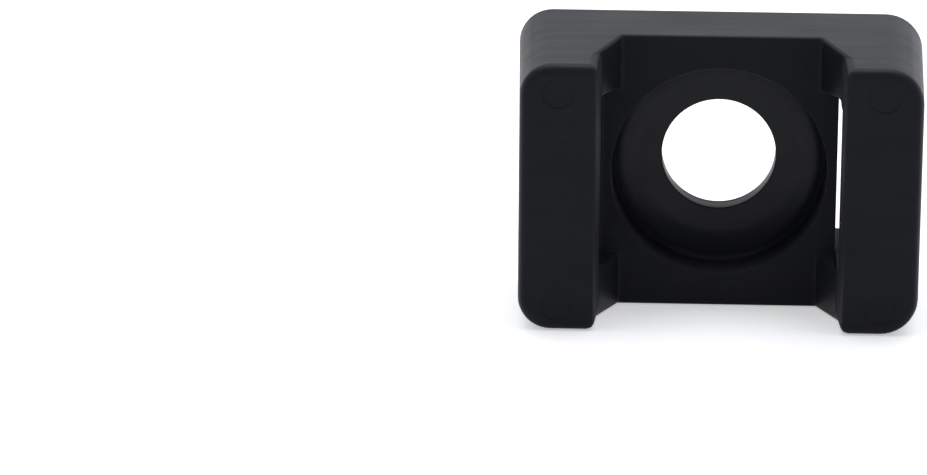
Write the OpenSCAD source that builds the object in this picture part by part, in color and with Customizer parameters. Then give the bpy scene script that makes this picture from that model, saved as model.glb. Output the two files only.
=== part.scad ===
// Saddle-type cable tie mount with one screw hole, moulded in one piece.
// It is drawn lying on its base: length along X, width along Y, height along Z, screw axis on Z.
// The last step stands it on one long side, base to the back (+Y), pads to the front (-Y),
// as on a vertical panel, with the origin at the middle of the underside.

/* [Block] */
// Length of the base
base_l = 22.4; // [20.4:0.1:26]
// Width of the base
base_w = 16.1; // [14.6:0.1:20]
// Height from the base to the top of the pads
mount_h = 9.5; // [8.6:0.1:12]
// Draft of the four outer sides, in degrees
draft = 2; // [0.5:0.1:2.5]
// Radius of the upright corners at the base
corner_r = 2.1; // [1.4:0.1:2.6]
// Radius of the edges round the base
base_edge_r = 0.35; // [0.15:0.05:0.5]
// Radius of the outer edges round the pads
pad_edge_r = 0.5; // [0.2:0.05:0.6]

/* [Saddle] */
// Thickness of the mount under the saddle
floor_h = 4.4; // [3.8:0.1:5.2]
// Length of the flat part of the saddle
floor_l = 10.9; // [10:0.1:12.4]
// Clear length between the two pads, where the slopes meet them
pad_gap = 13.2; // [13.2:0.1:14.2]
// Angle at which the inner walls of the pads open towards the top, in degrees
pad_taper = 4; // [0:0.5:6]
// Height at which the slopes from the saddle meet the walls of the pads
slope_top_h = 7.1; // [6.2:0.1:7.8]
// Radius of the inner corners of the pads
pad_corner_r = 0.55; // [0.2:0.05:0.8]

/* [Strap windows] */
// Width of the passage for the strap, under the pads and out of the base
strap_w = 9.3; // [7:0.1:10.5]
// Extra width of the passage where it starts at the saddle
groove_extra = 0.3; // [0.1:0.05:0.5]
// Angle at which the sides of that start open towards the top, in degrees
groove_taper = 6; // [1:0.5:8]
// Height of the passage, from the base to the underside of a pad
window_h = 7.3; // [6.6:0.1:7.8]
// Length of the base between the two passages
core_l = 13.1; // [12.6:0.1:13.1]
// Radius where a passage wall meets the underside of its pad
window_r = 0.3; // [0.1:0.05:0.5]

/* [Screw hole] */
// Diameter of the hole for the screw
hole_d = 6.35; // [4:0.05:7]
// Thickness of the seat under the screw head
seat_t = 1.2; // [0.8:0.1:1.8]
// Diameter of the flat part of the seat
seat_d = 8; // [7.4:0.1:9]
// Radius of the dish from the flat part of the seat up to the wall of the recess
dish_r = 3.5; // [3:0.1:6]
// Diameter of the recess for the screw head
recess_d = 11.2; // [9.8:0.1:11.4]
// Radius of the rim of the recess
rim_r = 0.4; // [0.2:0.05:0.45]

/* [Ejector marks] */
// Diameter of the mark that each ejector pin leaves on a pad
mark_d = 1.8; // [1:0.1:2.4]
// Depth of each mark
mark_depth = 0.05; // [0.03:0.01:0.1]
// Distance between the two marks of a pad
mark_pitch = 12.2; // [8:0.1:12.4]

/* [Hidden] */
$fn = 96;
// How far a cut runs past the face that it opens
over = 1;
// Straight pieces in each quarter of a rounded edge
arc_steps = 5;
slope = tan(draft);
half_l = base_l / 2;
half_w = base_w / 2;
recess_top_r = recess_d / 2 + rim_r;
// Distance from the middle to the inner wall of a pad, at height z
function pad_wall(z) = pad_gap / 2 + tan(pad_taper) * (z - slope_top_h);
// Middle of a pad, between its inner wall and its outer end
pad_x = (pad_wall(mount_h) + half_l - slope * mount_h) / 2;
// Lean of the round at a pad's corner, which follows both the inner wall and the long side
corner_lean = atan(cos(pad_taper) * slope);
// Share of its radius at which the middle of that round lies inside both walls
corner_inset = 0.995;

// Points on an arc about c, from angle a to angle b
function arc(c, r, a, b) =
    [for (i = [0:arc_steps]) c + r * [cos(a + (b - a) * i / arc_steps), sin(a + (b - a) * i / arc_steps)]];

// Outline of one drafted side, from the base to the top, with both of its edges rounded.
// half is the distance from the middle to the side at the base.
function side_points(half) =
    let (foot = half - base_edge_r * (1 + sin(draft)) / cos(draft),
         head = half - slope * mount_h - pad_edge_r * (1 - sin(draft)) / cos(draft))
    concat(
        arc([foot, base_edge_r], base_edge_r, -90, draft),
        arc([head, mount_h - pad_edge_r], pad_edge_r, draft, 90));

// Both sides together, as a closed outline
function both_sides(half) =
    let (side = side_points(half))
    concat(side, [for (i = [len(side) - 1:-1:0]) [-side[i][0], side[i][1]]]);

// Stands an outline drawn in X and Z upright, and gives it a thickness of t along Y
module along_y(t) {
    translate([0, t / 2, 0])
        rotate([90, 0, 0])
            linear_extrude(t)
                children();
}

// The same along X, for an outline drawn in Y and Z
module along_x(t) {
    translate([-t / 2, 0, 0])
        rotate([90, 0, 90])
            linear_extrude(t)
                children();
}

// The outer form: four drafted sides with rounded corners and edges
module block() {
    along_y(base_w - 2 * corner_r)
        polygon(both_sides(half_l));
    along_x(base_l - 2 * corner_r)
        polygon(both_sides(half_w));
    for (x = [-1, 1], y = [-1, 1])
        translate([x * (half_l - corner_r), y * (half_w - corner_r), 0])
            rotate_extrude()
                polygon(concat([[0, 0]], side_points(corner_r), [[0, mount_h]]));
}

// The space over the saddle, with a slope up to each pad
module saddle_space() {
    top = mount_h + over;
    along_y(base_w + 2 * over)
        polygon([
            [-pad_wall(top), top],
            [-pad_gap / 2, slope_top_h],
            [-floor_l / 2, floor_h],
            [floor_l / 2, floor_h],
            [pad_gap / 2, slope_top_h],
            [pad_wall(top), top]
        ]);
}

// What rounds the inner corners of the pads, along the line where both of their walls meet
module pad_corner_cuts() {
    inset = corner_inset * pad_corner_r;
    for (x = [0, 1], y = [0, 1])
        mirror([x, 0, 0])
            mirror([0, y, 0])
                translate([pad_gap / 2, half_w - slope * slope_top_h, slope_top_h])
                    rotate([corner_lean, pad_taper, 0])
                        difference() {
                            translate([-over, -inset, 0])
                                cube([over + inset, inset + over, mount_h]);
                            translate([inset, -inset, -over])
                                cylinder(r = pad_corner_r, h = mount_h + 2 * over);
                        }
}

// The way of the strap: through both slopes, under both pads, and out of the base at both ends
module strap_way() {
    half_s = strap_w / 2;
    start = half_s + groove_extra / 2;
    end = start + tan(groove_taper) * (mount_h - floor_h);
    along_x(pad_gap)
        polygon([[-start, floor_h], [start, floor_h], [end, mount_h], [-end, mount_h]]);
    for (x = [-1, 1])
        translate([x * (core_l / 2 + half_l + over) / 2, 0, 0])
            along_x(half_l + over - core_l / 2)
                polygon(concat(
                    [[-half_s, -over], [half_s, -over]],
                    arc([half_s - window_r, window_h - window_r], window_r, 0, 90),
                    arc([window_r - half_s, window_h - window_r], window_r, 90, 180)));
}

// The screw hole, with the recess for the head over it
module screw_way() {
    dish_angle = asin((recess_d - seat_d) / 2 / dish_r);
    translate([0, 0, -over])
        cylinder(d = hole_d, h = seat_t + 2 * over);
    rotate_extrude()
        polygon(concat(
            [[0, seat_t]],
            arc([seat_d / 2, seat_t + dish_r], dish_r, -90, dish_angle - 90),
            arc([recess_top_r, floor_h - rim_r], rim_r, 180, 90),
            [[recess_top_r, mount_h + over], [0, mount_h + over]]));
}

// The shallow rounds that the ejector pins leave, two on each pad
module ejector_marks() {
    for (x = [-1, 1], y = [-1, 1])
        translate([x * pad_x, y * mark_pitch / 2, mount_h - mark_depth])
            cylinder(d = mark_d, h = mark_depth + over, $fn = 48);
}

// The mount, moulded in one piece
module mount() {
    color([0.035, 0.037, 0.042])
        translate([0, mount_h / 2, half_w])
            rotate([90, 0, 0])
                difference() {
                    block();
                    saddle_space();
                    pad_corner_cuts();
                    strap_way();
                    screw_way();
                    ejector_marks();
                }
}

mount();
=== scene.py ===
import math

import bmesh
import bpy
from mathutils import Matrix, Vector


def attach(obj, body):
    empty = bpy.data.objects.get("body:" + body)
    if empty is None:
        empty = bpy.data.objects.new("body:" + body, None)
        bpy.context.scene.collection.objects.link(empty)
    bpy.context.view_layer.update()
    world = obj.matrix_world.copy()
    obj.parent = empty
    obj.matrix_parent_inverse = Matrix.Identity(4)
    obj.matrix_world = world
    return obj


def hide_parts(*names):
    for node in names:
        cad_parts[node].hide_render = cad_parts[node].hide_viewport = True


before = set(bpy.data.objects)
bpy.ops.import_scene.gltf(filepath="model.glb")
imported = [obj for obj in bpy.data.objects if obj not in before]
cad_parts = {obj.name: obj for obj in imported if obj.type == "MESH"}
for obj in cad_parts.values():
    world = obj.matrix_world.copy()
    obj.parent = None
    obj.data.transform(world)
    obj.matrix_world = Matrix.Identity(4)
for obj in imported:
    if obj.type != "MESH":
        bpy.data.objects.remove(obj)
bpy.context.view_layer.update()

# A saddle-type cable tie mount with one screw hole, moulded in black nylon. It stands on one
# long side on a white table, base to the back.

# ---------------------------------------------------------------- sizes, in millimetres
# The mount lies on its base while it is built: length along X, width along Y, height along Z.
MM = 0.001

# The block: its drafts are in degrees, and its upright corners get a little tighter to the top
BASE_L = 22.39
BASE_W = 16.06
HEIGHT = 9.5
END_DRAFT = 1.5
SIDE_DRAFT = 2.5
CORNER_R_LEFT = 1.85
CORNER_R_RIGHT = 2.1
CORNER_TIGHTER = 0.05

# The saddle, the slopes from it to the pads, and the pads' inner walls, which lean outwards
FLOOR_H = 4.4
FLOOR_L = 10.9
SLOPE_TOP_H = 6.8
PAD_GAP = 13.12
PAD_TAPER = 4.0

# The way of the strap: a groove across the saddle, and a passage down each end of the core
STRAP_W = 9.3
GROOVE_W = 9.6
GROOVE_TAPER = 6.0
WINDOW_H = 7.3
CORE_L = 13.1
CORE_SHIFT = -0.05

# The screw hole and the recess over it: a flat seat, a dish, a rising ring, a fillet and a wall
HOLE_D = 6.35
SEAT_T = 1.2
SEAT_D = 8.4
DISH_R = 2.0
DISH_ANGLE = 20.0
RECESS_FILLET_R = 1.1
RECESS_D = 11.96
RIM_R = 0.04

# The marks that the ejector pins leave, two on each pad
MARK_D = 1.8
MARK_DEPTH = 0.05
MARK_PITCH = 12.2

# Radii of the edges; those where two faces meet in a hollow share one
OUTER_EDGE_R = 0.48
BASE_EDGE_R = 0.35
PAD_CORNER_R = 0.53
PAD_INNER_R = 0.28
SADDLE_EDGE_R = 0.2
WINDOW_EDGE_R = 0.16
SHUT_OFF_R = 0.02
HOLLOW_R = 0.2
HOLE_EDGE_R = 0.08
# The soft edges of an ejector mark: how wide they are, and how high
MARK_EDGE_W = 0.03
MARK_EDGE_RISE = 0.018

# Straight pieces in a round form
CORNER_STEPS = 10
EDGE_STEPS = 4
HOLE_EDGE_STEPS = 3
FILLET_STEPS = 6
SCREW_STEPS = 144
MARK_STEPS = 48

# How far a cut runs past the face that it opens, and the least that keeps a point off a face
OVER = 1.0
CLEAR = 0.001

END_SLOPE = math.tan(math.radians(END_DRAFT))
SIDE_SLOPE = math.tan(math.radians(SIDE_DRAFT))
PAD_SLOPE = math.tan(math.radians(PAD_TAPER))
GROOVE_SLOPE = math.tan(math.radians(GROOVE_TAPER))
TOP_L = BASE_L - 2 * END_SLOPE * HEIGHT
TOP_W = BASE_W - 2 * SIDE_SLOPE * HEIGHT
# From the middle to a pad's inner wall at the top, and to the middle of the pad
PAD_OPEN = PAD_GAP / 2 + PAD_SLOPE * (HEIGHT - SLOPE_TOP_H)
PAD_X = (PAD_OPEN + TOP_L / 2) / 2


# ---------------------------------------------------------------- mesh tools
def arc(cx, cy, r, start, end, steps):
    """Points on an arc, from one angle to another, in degrees."""
    out = []
    for i in range(steps + 1):
        a = math.radians(start + (end - start) * i / steps)
        out.append((cx + r * math.cos(a), cy + r * math.sin(a)))
    return out


def mesh_object(name, bm):
    """A new object that holds the bmesh, with its normals made to face outwards."""
    bmesh.ops.recalc_face_normals(bm, faces=bm.faces)
    mesh = bpy.data.meshes.new(name)
    bm.to_mesh(mesh)
    bm.free()
    obj = bpy.data.objects.new(name, mesh)
    bpy.context.scene.collection.objects.link(obj)
    return obj


def loft(name, rings):
    """A closed solid through rings of points, capped at both ends."""
    bm = bmesh.new()
    loops = [[bm.verts.new(p) for p in ring] for ring in rings]
    for low, high in zip(loops, loops[1:]):
        n = len(low)
        for i in range(n):
            j = (i + 1) % n
            bm.faces.new((low[i], low[j], high[j], high[i]))
    bm.faces.new(loops[0][::-1])
    bm.faces.new(loops[-1])
    return mesh_object(name, bm)


def rounded_rectangle(half_x, half_y, r_left, r_right, z):
    """A ring at height z."""
    points = []
    for sx, sy, start in ((1, 1, 0), (-1, 1, 90), (-1, -1, 180), (1, -1, 270)):
        r = r_right if sx > 0 else r_left
        points += arc(sx * (half_x - r), sy * (half_y - r), r, start, start + 90, CORNER_STEPS)
    return [(x, y, z) for x, y in points]


def prism_x(name, outline, half):
    """An outline drawn in Y and Z, made half long to each side along X."""
    return loft(name, [[(x, y, z) for y, z in outline] for x in (-half, half)])


def prism_y(name, outline, half):
    """An outline drawn in X and Z, made half long to each side along Y."""
    return loft(name, [[(x, y, z) for x, z in outline] for y in (half, -half)])


def turned(name, outline, steps, at=(0, 0)):
    """An outline of radius and height, turned about an upright axis. Its ends lie on the axis."""
    bm = bmesh.new()
    rings = []
    for r, z in outline[1:-1]:
        ring = []
        for i in range(steps):
            a = 2 * math.pi * i / steps
            ring.append(bm.verts.new((at[0] + r * math.cos(a), at[1] + r * math.sin(a), z)))
        rings.append(ring)
    for low, high in zip(rings, rings[1:]):
        for i in range(steps):
            j = (i + 1) % steps
            bm.faces.new((low[i], low[j], high[j], high[i]))
    bm.faces.new(rings[0][::-1])
    bm.faces.new(rings[-1])
    return mesh_object(name, bm)


def apply_modifiers(obj):
    """Bakes the modifiers of an object into its mesh."""
    bpy.context.view_layer.update()
    evaluated = obj.evaluated_get(bpy.context.evaluated_depsgraph_get())
    mesh = bpy.data.meshes.new_from_object(evaluated)
    obj.modifiers.clear()
    old = obj.data
    obj.data = mesh
    bpy.data.meshes.remove(old)


def cut(obj, *tools):
    """Takes each tool away from an object, and deletes the tool."""
    for tool in tools:
        mod = obj.modifiers.new("cut", "BOOLEAN")
        mod.operation = "DIFFERENCE"
        mod.solver = "EXACT"
        mod.object = tool
        apply_modifiers(obj)
        bpy.data.objects.remove(tool)


# ---------------------------------------------------------------- the mount
# How far off a place may lie and still count as the one that is meant: a flat place, the
# shifted ends of the core, a leaning corner of a pad, and the shut-offs round the slopes
SAME = 0.02
CORE_REACH = 0.1
CORNER_REACH = 0.3
SHUT_OFF_REACH = 0.5

# Points closer than WELD are one; faces that meet at less than FLAT_ANGLE are one face, and
# those that meet at more than SHARP_ANGLE have an edge to round. Both angles are in degrees.
WELD = 0.0001
FLAT_ANGLE = 0.5
SHARP_ANGLE = 18.0


def block():
    """The drafted block, with its upright corners rounded."""
    radii = (CORNER_R_LEFT, CORNER_R_RIGHT)
    radii_at_top = [r - CORNER_TIGHTER for r in radii]
    return loft("mount_detail", [
        rounded_rectangle(BASE_L / 2, BASE_W / 2, *radii, 0),
        rounded_rectangle(TOP_L / 2, TOP_W / 2, *radii_at_top, HEIGHT),
    ])


def saddle_space():
    """What is taken away over the saddle and its slopes, between the pads."""
    top = HEIGHT + OVER
    top_x = PAD_OPEN + PAD_SLOPE * OVER
    return prism_y("saddle_space", [
        (-top_x, top), (-PAD_GAP / 2, SLOPE_TOP_H), (-FLOOR_L / 2, FLOOR_H),
        (FLOOR_L / 2, FLOOR_H), (PAD_GAP / 2, SLOPE_TOP_H), (top_x, top),
    ], BASE_W / 2 + OVER)


def groove():
    """The tapered start of the strap's way, through both slopes."""
    top = HEIGHT + OVER
    wide = GROOVE_W / 2
    wider = wide + GROOVE_SLOPE * (top - FLOOR_H)
    return prism_x("groove", [(-wide, FLOOR_H), (wide, FLOOR_H), (wider, top), (-wider, top)], PAD_GAP / 2)


def passage(side):
    """The way of the strap under one pad and out of the base, on side -1 or 1."""
    left, right = sorted((CORE_SHIFT + side * CORE_L / 2, side * (BASE_L / 2 + OVER)))
    outline = [(left, -OVER), (right, -OVER), (right, WINDOW_H), (left, WINDOW_H)]
    return prism_y("passage", outline, STRAP_W / 2)


def near(a, b, reach=SAME):
    """Whether two places count as one."""
    return abs(a - b) < reach


def edge_radius(edge):
    """The radius that the real edge has, from where it lies."""
    a, b = (v.co for v in edge.verts)
    mid = (a + b) / 2
    far_x, far_y = abs(mid.x), abs(mid.y)
    if not edge.is_convex:
        return HOLLOW_R
    # On the base
    if near(a.z, 0) and near(b.z, 0):
        inner = near(far_y, STRAP_W / 2) or near(far_x, CORE_L / 2, CORE_REACH)
        return WINDOW_EDGE_R if inner else BASE_EDGE_R
    # On the top of a pad
    if near(a.z, HEIGHT) and near(b.z, HEIGHT):
        return PAD_INNER_R if near(far_x, PAD_OPEN) else OUTER_EDGE_R
    # On a long side of the mount
    if far_y > TOP_W / 2 - CORNER_R_LEFT:
        pad_corner = mid.z > SLOPE_TOP_H and near(far_x, PAD_OPEN, CORNER_REACH)
        return PAD_CORNER_R if pad_corner else SADDLE_EDGE_R
    # Along the way of the strap
    return SHUT_OFF_R if near(far_x, PAD_OPEN, SHUT_OFF_REACH) else WINDOW_EDGE_R


def round_edges(obj, largest):
    """Rounds every sharp edge by its own radius."""
    bm = bmesh.new()
    bm.from_mesh(obj.data)
    bmesh.ops.remove_doubles(bm, verts=bm.verts, dist=WELD)
    bmesh.ops.dissolve_limit(bm, angle_limit=math.radians(FLAT_ANGLE), verts=bm.verts, edges=bm.edges)
    weight = bm.edges.layers.float.new("bevel_weight_edge")
    for edge in bm.edges:
        if len(edge.link_faces) == 2 and edge.calc_face_angle() > math.radians(SHARP_ANGLE):
            edge[weight] = edge_radius(edge) / largest
    bm.to_mesh(obj.data)
    bm.free()
    mod = obj.modifiers.new("round", "BEVEL")
    mod.limit_method = "WEIGHT"
    mod.width = largest
    mod.segments = EDGE_STEPS
    mod.use_clamp_overlap = False
    apply_modifiers(obj)


def screw_way():
    """The hole and the recess over it, with their edges rounded."""
    wall = RECESS_D / 2
    edge_x = HOLE_D / 2 + HOLE_EDGE_R
    turn = math.radians(DISH_ANGLE)
    # Where the rising ring starts, at the end of the dish, and where the fillet ends it
    ring_x = SEAT_D / 2 + DISH_R * math.sin(turn)
    ring_z = SEAT_T + DISH_R * (1 - math.cos(turn))
    fillet_x = wall - RECESS_FILLET_R
    fillet_z = ring_z + (fillet_x + RECESS_FILLET_R * math.sin(turn) - ring_x) * math.tan(turn)
    outline = [(0, -OVER), (edge_x, -OVER)]
    outline += arc(edge_x, HOLE_EDGE_R, HOLE_EDGE_R, 270, 180, HOLE_EDGE_STEPS)
    outline += arc(edge_x, SEAT_T - HOLE_EDGE_R, HOLE_EDGE_R, 180, 90, HOLE_EDGE_STEPS)
    outline += arc(SEAT_D / 2, SEAT_T + DISH_R, DISH_R, 270, 270 + DISH_ANGLE, EDGE_STEPS)
    outline += arc(fillet_x, fillet_z + RECESS_FILLET_R * math.cos(turn), RECESS_FILLET_R,
                   270 + DISH_ANGLE, 360, FILLET_STEPS)
    outline += arc(wall + RIM_R, FLOOR_H - RIM_R, RIM_R, 180, 90, EDGE_STEPS)
    outline += [(wall + RIM_R, HEIGHT), (0, HEIGHT)]
    return turned("screw_way", outline, SCREW_STEPS)


def ejector_marks():
    """The four shallow rounds on the pads, each with a softened rim."""
    r = MARK_D / 2
    low = HEIGHT - MARK_DEPTH
    outline = [
        (0, low), (r - MARK_EDGE_W, low), (r, low + MARK_EDGE_RISE), (r, HEIGHT - MARK_EDGE_RISE),
        (r + MARK_EDGE_W, HEIGHT + CLEAR), (r + MARK_EDGE_W, HEIGHT + OVER), (0, HEIGHT + OVER),
    ]
    places = [(x * PAD_X, y * MARK_PITCH / 2) for x in (-1, 1) for y in (-1, 1)]
    return [turned("mark", outline, MARK_STEPS, at) for at in places]


def stand_up(obj):
    """From lying on the base, in millimetres, to the frame of the part, in metres."""
    turn = Matrix.Rotation(math.radians(90), 4, "X")
    move = Matrix.Translation(Vector((0, HEIGHT / 2, BASE_W / 2)))
    obj.data.transform(Matrix.Scale(MM, 4) @ move @ turn)


def build_mount():
    """The mount: the main form with its edges rounded, then what the pins and the screw leave."""
    obj = block()
    cut(obj, saddle_space(), groove(), passage(-1), passage(1))
    round_edges(obj, PAD_CORNER_R)
    cut(obj, screw_way(), *ejector_marks())
    for polygon in obj.data.polygons:
        polygon.use_smooth = True
    obj.modifiers.new("even_normals", "WEIGHTED_NORMAL").keep_sharp = True
    stand_up(obj)
    return obj


# ---------------------------------------------------------------- node tools
NODE_SPACING = 220


def node(tree, kind, **values):
    """A new node; each value goes to the socket of that name, or else to the property."""
    made = tree.nodes.new(kind)
    made.location = (NODE_SPACING * len(tree.nodes), 0)
    for name, value in values.items():
        label = name.replace("_", " ")
        if label in made.inputs:
            made.inputs[label].default_value = value
        else:
            setattr(made, name, value)
    return made


def put(tree, value, socket):
    """Gives a socket its value, which is a number or the output of another node."""
    if isinstance(value, bpy.types.NodeSocket):
        tree.links.new(value, socket)
    else:
        socket.default_value = value


def ramp(tree, value, low, high, low_out=0.0, high_out=1.0):
    """From low_out to high_out between low and high, with soft ends; high may be the smaller one."""
    made = node(tree, "ShaderNodeMapRange", interpolation_type="SMOOTHSTEP", From_Min=low, From_Max=high,
                To_Min=low_out, To_Max=high_out)
    put(tree, value, made.inputs["Value"])
    return made.outputs["Result"]


def math_node(tree, operation, *values):
    """One sum, product or other step of sockets and numbers."""
    made = node(tree, "ShaderNodeMath", operation=operation)
    for value, socket in zip(values, made.inputs):
        put(tree, value, socket)
    return made.outputs[0]


def blend(tree, mask, a, b):
    """From a to b as the mask goes from 0 to 1."""
    made = node(tree, "ShaderNodeMix", data_type="FLOAT")
    for name, value in (("Factor", mask), ("A", a), ("B", b)):
        put(tree, value, made.inputs[name])
    return made.outputs["Result"]


def noise(tree, place, stretch, scale, detail):
    """Noise over the part, in cycles per metre, stretched by its own factor on each axis."""
    stretched = node(tree, "ShaderNodeMapping", Scale=stretch)
    tree.links.new(place, stretched.inputs["Vector"])
    made = node(tree, "ShaderNodeTexNoise", Scale=scale, Detail=detail)
    tree.links.new(stretched.outputs[0], made.inputs["Vector"])
    return made.outputs["Fac"]


def bump(tree, height, depth, normal=None):
    """The surface, raised by up to depth millimetres, over another bump where there is one."""
    made = node(tree, "ShaderNodeBump", Distance=depth * MM)
    tree.links.new(height, made.inputs["Height"])
    if normal:
        tree.links.new(normal, made.inputs["Normal"])
    return made.outputs[0]


# ---------------------------------------------------------------- black nylon
# Roughness of the moulded faces: textured on most of them, and smoother in the recess, on the
# slopes and on the drafted sides and ends
TEXTURE_ROUGH = 0.72
RECESS_ROUGH = 0.4
SLOPE_ROUGH = 0.4
SIDE_ROUGH = 0.38
END_ROUGH = 0.45

# How much of a normal lies along an axis, on a face that counts as looking along it: from
# where the mask starts to where it is full. A slope looks along X, but less than an end does.
FACING = (0.5, 0.9)
SLOPE_FACING = (0.5, 0.8)
SLOPE_NOT_END = (0.99, 0.9)
# How high over the base the mask of the recess starts and is full, and over what width the
# masks of the sides and ends fade in, in millimetres
RECESS_FADE = (0.1, 0.6)
OUTER_FADE = 0.5

NYLON = (0.0078, 0.0086, 0.0114, 1)
NYLON_PALE = (0.0092, 0.01, 0.013, 1)
NYLON_IOR = 1.5
NYLON_SPECULAR = 0.18

# The flow of the melt, drawn out along the length, its slow changes, and the grain of the mould:
# stretch on each axis, cycles per metre, and levels of detail
STREAKS = ((0.12, 1, 1), 900, 3)
CLOUD = ((1, 1, 1), 260, 4)
GRAIN = ((1, 1, 1), 9000, 2)
# Range of streaks and cloud together, and how far it takes the roughness up or down
UNEVEN_RANGE = (0.6, 1.4)
ROUGH_SPREAD = 0.05
# Depth of the relief that they and the grain make, in millimetres
STREAK_DEPTH = 0.02
GRAIN_DEPTH = 0.006


def distance_on_axis(tree, coordinate, middle):
    """Distance from a place on the coordinate's axis, given in millimetres."""
    moved = math_node(tree, "SUBTRACT", coordinate, middle * MM)
    return math_node(tree, "ABSOLUTE", moved)


def outer_face(tree, normal, distance, face_at):
    """1 on the faces of the block that look along an axis and lie beyond face_at millimetres."""
    facing = ramp(tree, math_node(tree, "ABSOLUTE", normal), *FACING)
    beyond = ramp(tree, distance, (face_at - OUTER_FADE) * MM, face_at * MM)
    return math_node(tree, "MULTIPLY", facing, beyond)


def recess_mask(tree, at):
    """1 within the recess round the screw, but not on the base."""
    flat = node(tree, "ShaderNodeCombineXYZ")
    tree.links.new(at["X"], flat.inputs["X"])
    tree.links.new(at["Z"], flat.inputs["Z"])
    away = node(tree, "ShaderNodeVectorMath", operation="DISTANCE")
    tree.links.new(flat.outputs[0], away.inputs[0])
    away.inputs[1].default_value = (0, 0, BASE_W / 2 * MM)
    within = ramp(tree, away.outputs["Value"], (RECESS_D / 2 + RIM_R) * MM, RECESS_D / 2 * MM)
    above_base = ramp(tree, at["Y"], *((HEIGHT / 2 - fade) * MM for fade in RECESS_FADE))
    return math_node(tree, "MULTIPLY", within, above_base)


def slope_mask(tree, normal):
    """1 on the faces that look along X, but only in part, as the slopes do."""
    across = math_node(tree, "ABSOLUTE", normal["X"])
    return math_node(tree, "MULTIPLY", ramp(tree, across, *SLOPE_FACING), ramp(tree, across, *SLOPE_NOT_END))


def moulded_roughness(tree, at, normal):
    """The roughness of each face, from its place and from where it looks."""
    from_middle = distance_on_axis(tree, at["X"], 0)
    from_axis = distance_on_axis(tree, at["Z"], BASE_W / 2)
    end = outer_face(tree, normal["X"], from_middle, BASE_L / 2 - CORNER_R_RIGHT)
    side = outer_face(tree, normal["Z"], from_axis, BASE_W / 2 - CORNER_R_RIGHT)
    rough = TEXTURE_ROUGH
    for mask, value in (
        (slope_mask(tree, normal), SLOPE_ROUGH), (end, END_ROUGH), (side, SIDE_ROUGH),
        (recess_mask(tree, at), RECESS_ROUGH),
    ):
        rough = blend(tree, mask, rough, value)
    return rough


def black_nylon():
    """Black moulded nylon: a satin texture that differs from face to face, with fine grain."""
    mat = bpy.data.materials.new("black_nylon")
    mat.use_nodes = True
    tree = mat.node_tree
    bsdf = tree.nodes["Principled BSDF"].inputs
    bsdf["IOR"].default_value = NYLON_IOR
    bsdf["Specular IOR Level"].default_value = NYLON_SPECULAR
    coords = node(tree, "ShaderNodeTexCoord").outputs
    split_place = node(tree, "ShaderNodeSeparateXYZ")
    tree.links.new(coords["Object"], split_place.inputs[0])
    split_normal = node(tree, "ShaderNodeSeparateXYZ")
    tree.links.new(coords["Normal"], split_normal.inputs[0])
    rough = moulded_roughness(tree, split_place.outputs, split_normal.outputs)

    streaks, cloud, grain = (noise(tree, coords["Object"], *kind) for kind in (STREAKS, CLOUD, GRAIN))
    uneven = math_node(tree, "ADD", streaks, cloud)
    spread = node(tree, "ShaderNodeMapRange", From_Min=UNEVEN_RANGE[0], From_Max=UNEVEN_RANGE[1],
                  To_Min=-ROUGH_SPREAD, To_Max=ROUGH_SPREAD)
    tree.links.new(uneven, spread.inputs["Value"])
    tree.links.new(math_node(tree, "ADD", rough, spread.outputs["Result"]), bsdf["Roughness"])

    colour = node(tree, "ShaderNodeMix", data_type="RGBA")
    for name, value in (("Factor", cloud), ("A", NYLON), ("B", NYLON_PALE)):
        put(tree, value, colour.inputs[name])
    tree.links.new(colour.outputs["Result"], bsdf["Base Color"])
    tree.links.new(bump(tree, grain, GRAIN_DEPTH, bump(tree, uneven, STREAK_DEPTH)), bsdf["Normal"])
    return mat


# ---------------------------------------------------------------- floor
# Half of its length and width, and how far in front of the mount it is level again, in metres
FLOOR_HALF = 3.0
FLOOR_FALL = 0.06
# How far it stays below the mount, in millimetres
FLOOR_GAP = 0.01
FLOOR_GLOW = 0.42
FLOOR_COLOR = (0.9, 0.9, 0.9, 1)
FLOOR_ROUGH = 0.6
FLOOR_SPECULAR = 0.1


def seen_rays(tree):
    """One for the rays that show a surface: those of the camera, of gloss and of clear things."""
    path = node(tree, "ShaderNodeLightPath").outputs
    seen = math_node(tree, "MAXIMUM", path["Is Camera Ray"], path["Is Glossy Ray"])
    return math_node(tree, "MAXIMUM", seen, path["Is Transmission Ray"])


def white_table():
    """A matt white surface that shows a little brighter than the light alone makes it."""
    mat = bpy.data.materials.new("white_table")
    mat.use_nodes = True
    tree = mat.node_tree
    bsdf = tree.nodes["Principled BSDF"].inputs
    bsdf["Base Color"].default_value = FLOOR_COLOR
    bsdf["Roughness"].default_value = FLOOR_ROUGH
    bsdf["Specular IOR Level"].default_value = FLOOR_SPECULAR
    bsdf["Emission Color"].default_value = (1, 1, 1, 1)
    glow = math_node(tree, "MULTIPLY", seen_rays(tree), FLOOR_GLOW)
    tree.links.new(glow, bsdf["Emission Strength"])
    return mat


def make_floor():
    """A white table. It meets the drafted side that the mount lies on, so it rises a little under it."""
    low = -FLOOR_GAP * MM
    rise = SIDE_SLOPE * HEIGHT * MM + low
    back = HEIGHT / 2 * MM
    profile = [
        (FLOOR_HALF, low), (back, low), (-back, rise), (-back - FLOOR_FALL, low), (-FLOOR_HALF, low),
    ]
    bm = bmesh.new()
    rows = [[bm.verts.new((x, y, z)) for x in (-FLOOR_HALF, FLOOR_HALF)] for y, z in profile]
    for far, close in zip(rows, rows[1:]):
        bm.faces.new((close[0], close[1], far[1], far[0]))
    floor = mesh_object("floor", bm)
    floor.data.materials.append(white_table())


# ---------------------------------------------------------------- light
LIGHT_COLOR = (0.96, 0.985, 1.03)
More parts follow.
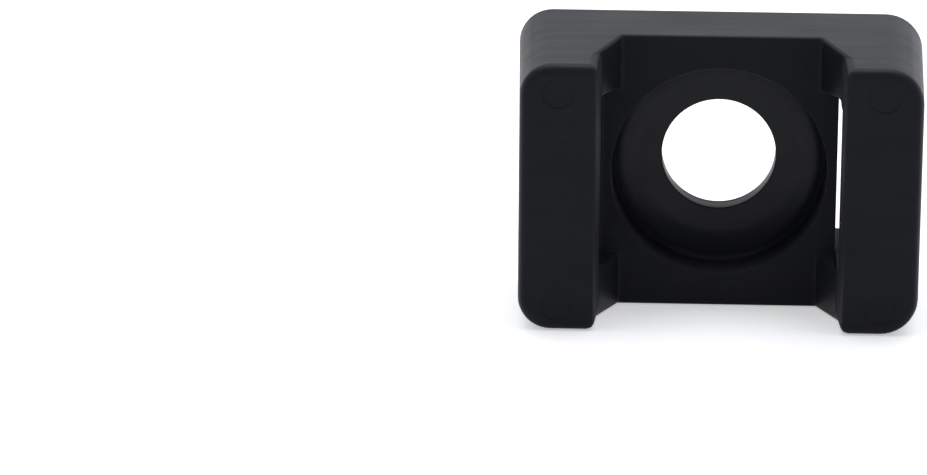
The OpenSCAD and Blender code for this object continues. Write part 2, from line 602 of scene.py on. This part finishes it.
# Brightness of the room behind the part and in front of it, how much its sides count as
# behind, and where on the way from front (-1) to back (1) it starts and stops to brighten.
# The backdrop is what the camera itself sees of the room.
BACK_LIGHT = 1.0
FRONT_LIGHT = 0.22
SIDE_SHARE = 0.75
DIM_BELOW = -0.3
BRIGHT_ABOVE = 0.5
BACKDROP = 1.0
# The lamp's size and place, in metres, and how bright its face is
SOFTBOX_SIZE = (0.8, 0.6)
SOFTBOX_PLACE = (0.0, 0.15, 0.8)
SOFTBOX_LEVEL = 2.1


def make_world():
    """A pale room: bright behind the part and at its sides, dim in front of it."""
    world = bpy.data.worlds.new("studio")
    bpy.context.scene.world = world
    world.use_nodes = True
    tree = world.node_tree
    background = tree.nodes["Background"].inputs
    look = node(tree, "ShaderNodeSeparateXYZ")
    tree.links.new(node(tree, "ShaderNodeTexCoord").outputs["Generated"], look.inputs[0])
    aside = math_node(tree, "ABSOLUTE", look.outputs["X"])
    aside = math_node(tree, "MULTIPLY", aside, SIDE_SHARE)
    behind = math_node(tree, "ADD", look.outputs["Y"], aside)
    room = ramp(tree, behind, DIM_BELOW, BRIGHT_ABOVE, FRONT_LIGHT, BACK_LIGHT)
    seen = node(tree, "ShaderNodeLightPath").outputs["Is Camera Ray"]
    background["Color"].default_value = (*LIGHT_COLOR, 1)
    tree.links.new(blend(tree, seen, room, BACKDROP), background["Strength"])


def make_softbox():
    """One wide soft lamp over the part, a little behind it."""
    data = bpy.data.lights.new("softbox", "AREA")
    data.shape = "RECTANGLE"
    data.size, data.size_y = SOFTBOX_SIZE
    data.color = LIGHT_COLOR
    data.energy = SOFTBOX_LEVEL * math.pi * SOFTBOX_SIZE[0] * SOFTBOX_SIZE[1]
    lamp = bpy.data.objects.new("softbox", data)
    bpy.context.scene.collection.objects.link(lamp)
    lamp.location = SOFTBOX_PLACE
    aim = Vector((0, 0, BASE_W / 2 * MM)) - Vector(SOFTBOX_PLACE)
    lamp.rotation_euler = aim.to_track_quat("-Z", "Y").to_euler()
    lamp.visible_camera = False


# ---------------------------------------------------------------- camera
# It stands off the middle of the mount, and is turned aside so that the mount sits in the
# upper right of the picture. Angles are in degrees, and the lengths are in millimetres.
CAMERA_AZIMUTH = 0.755
CAMERA_ELEVATION = 18.749
CAMERA_ROLL = 1.189
CAMERA_PAN = 2.671
CAMERA_TILT = 0.662
CAMERA_DISTANCE = 302.92
CAMERA_LENS = 212.84
CAMERA_SENSOR = 36
# Nearest and farthest that it sees, in metres
CAMERA_CLIP = (0.01, 20)


def make_camera():
    """The camera of the picture."""
    data = bpy.data.cameras.new("camera")
    data.sensor_width = CAMERA_SENSOR
    data.lens = CAMERA_LENS
    data.clip_start, data.clip_end = CAMERA_CLIP
    camera = bpy.data.objects.new("camera", data)
    bpy.context.scene.collection.objects.link(camera)
    az, el = math.radians(CAMERA_AZIMUTH), math.radians(CAMERA_ELEVATION)
    ahead = Vector((math.sin(az) * math.cos(el), math.cos(az) * math.cos(el), -math.sin(el)))
    place = Vector((0, 0, BASE_W / 2 * MM)) - ahead * CAMERA_DISTANCE * MM
    turn = ahead.to_track_quat("-Z", "Y").to_matrix()
    for axis, angle in (("Z", CAMERA_ROLL), ("Y", CAMERA_PAN), ("X", -CAMERA_TILT)):
        turn = turn @ Matrix.Rotation(math.radians(angle), 3, axis)
    camera.matrix_world = Matrix.Translation(place) @ turn.to_4x4()
    bpy.context.scene.camera = camera


mount = build_mount()
mount.data.materials.append(black_nylon())
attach(mount, "root")
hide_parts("mount")
make_floor()
make_world()
make_softbox()
make_camera()
bpy.context.scene.view_settings.view_transform = "Standard"
